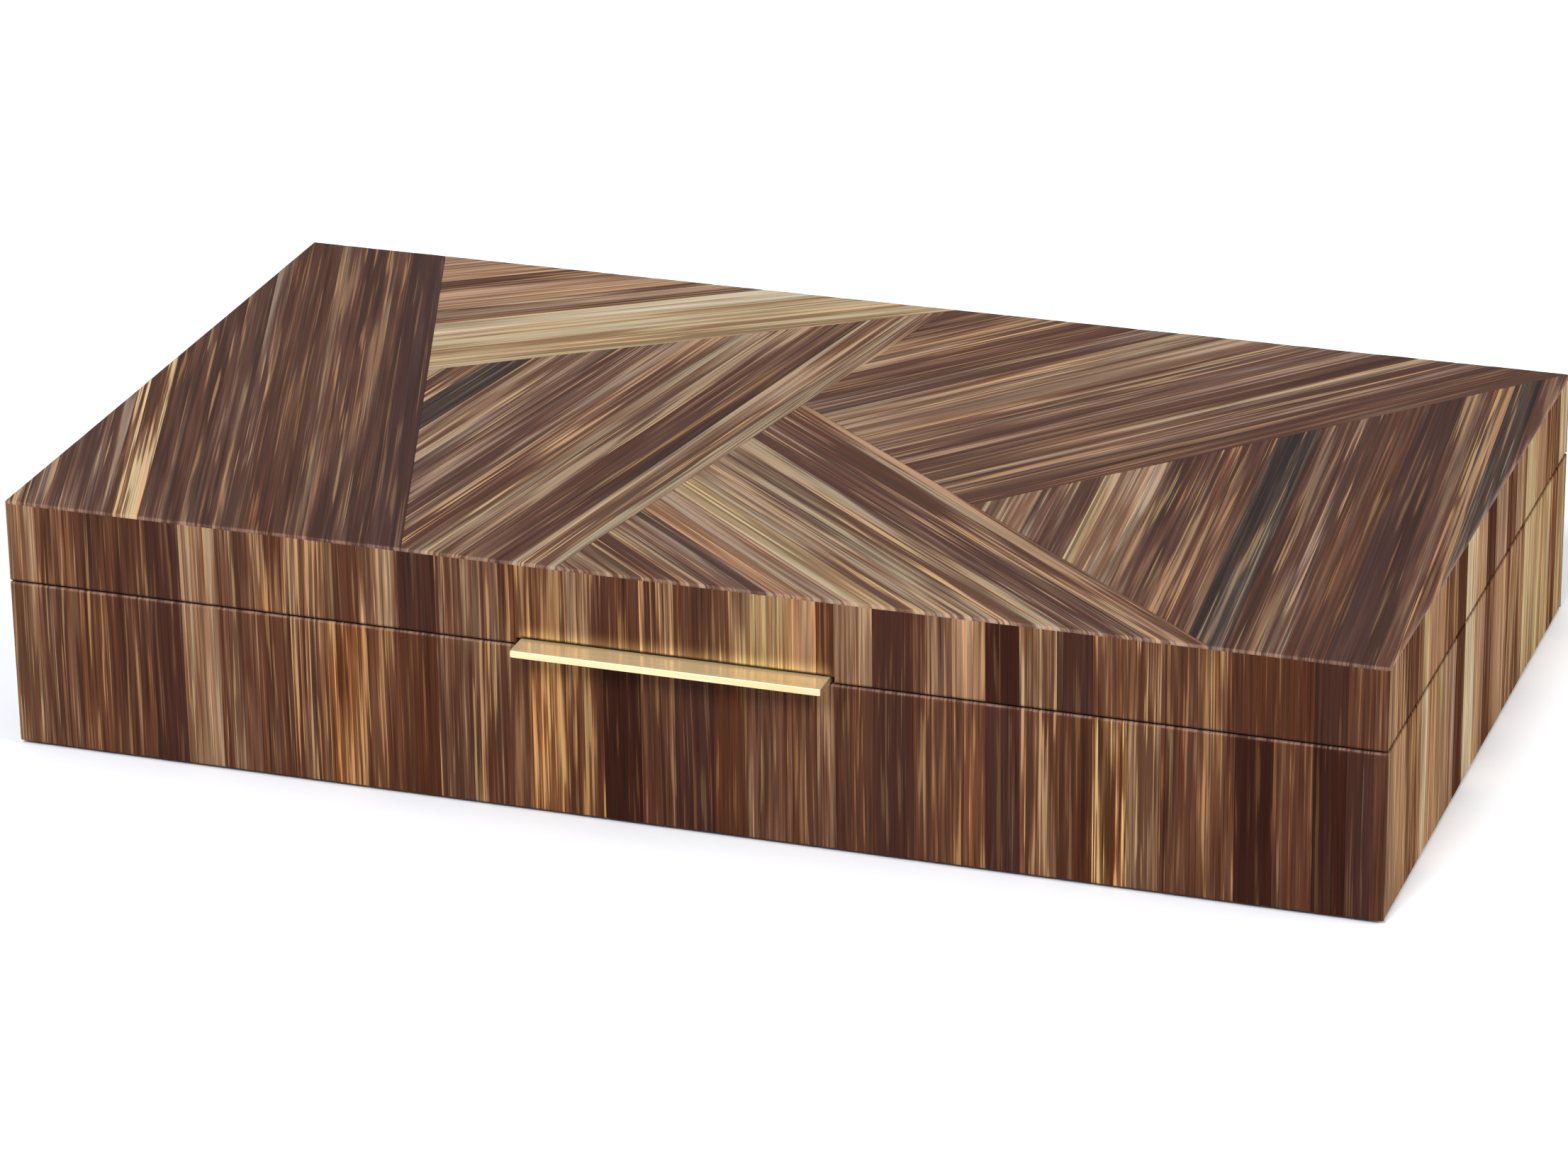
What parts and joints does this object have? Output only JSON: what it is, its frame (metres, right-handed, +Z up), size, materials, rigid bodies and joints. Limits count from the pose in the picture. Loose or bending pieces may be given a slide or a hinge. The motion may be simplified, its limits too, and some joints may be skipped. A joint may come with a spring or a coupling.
{
  "type": "hinged decorative box",
  "caption": "Shallow rectangular box with a hinged lid, strip marquetry on every face, fabric lining and a thin brass pull plate on the lid's front edge.",
  "frame": {"origin": "middle of the felt underside, on the surface the box stands on", "axes": "+X to the right as seen from the front, +Y towards the hinges, +Z up; the front with the pull plate faces -Y"},
  "size_m": [0.4, 0.2368, 0.075],
  "materials": {
    "marquetry": "satin lacquered dyed straw strips, espresso to golden tan",
    "core_wood": "dark stained hardwood, matt",
    "lining": "taupe suede-like fabric over card and wadding",
    "felt": "dense dark brown felt",
    "pull_brass": "polished, lacquered",
    "hinge_brass": "satin"
  },
  "bodies": {
    "base": {"underside_felt": "felt", "base_bottom_panel": "core_wood", "base_front_panel": "core_wood", "base_right_panel": "core_wood", "base_back_panel": "core_wood", "base_left_panel": "core_wood", "base_front_marquetry": "marquetry", "base_right_marquetry": "marquetry", "base_back_marquetry": "marquetry", "base_left_marquetry": "marquetry", "base_floor_pad": "lining", "base_front_lining": "lining", "base_right_lining": "lining", "base_back_lining": "lining", "base_left_lining": "lining", "left_hinge_base_leaf": "hinge_brass", "right_hinge_base_leaf": "hinge_brass", "left_hinge_pin": "hinge_brass", "right_hinge_pin": "hinge_brass", "base_hinge_screws": "hinge_brass"},
    "lid": {"lid_top_panel": "core_wood", "lid_front_panel": "core_wood", "lid_right_panel": "core_wood", "lid_back_panel": "core_wood", "lid_left_panel": "core_wood", "lid_front_marquetry": "marquetry", "lid_right_marquetry": "marquetry", "lid_back_marquetry": "marquetry", "lid_left_marquetry": "marquetry", "lid_top_left_marquetry": "marquetry", "lid_top_pale_marquetry": "marquetry", "lid_top_centre_marquetry": "marquetry", "lid_top_back_marquetry": "marquetry", "lid_top_front_marquetry": "marquetry", "lid_top_right_marquetry": "marquetry", "lid_ceiling_pad": "lining", "lid_front_lining": "lining", "lid_right_lining": "lining", "lid_back_lining": "lining", "lid_left_lining": "lining", "left_hinge_lid_leaf": "hinge_brass", "right_hinge_lid_leaf": "hinge_brass", "lid_hinge_screws": "hinge_brass", "pull_plate": "pull_brass", "pull_screws": "hinge_brass"}
  },
  "joints": [
    {"name": "lid_hinge", "type": "hinge", "parent": "base", "child": "lid", "pos_m": [0, 0.1131, 0.05025], "axis": [-1, 0, 0], "range_deg": [0, 95]}
  ]
}
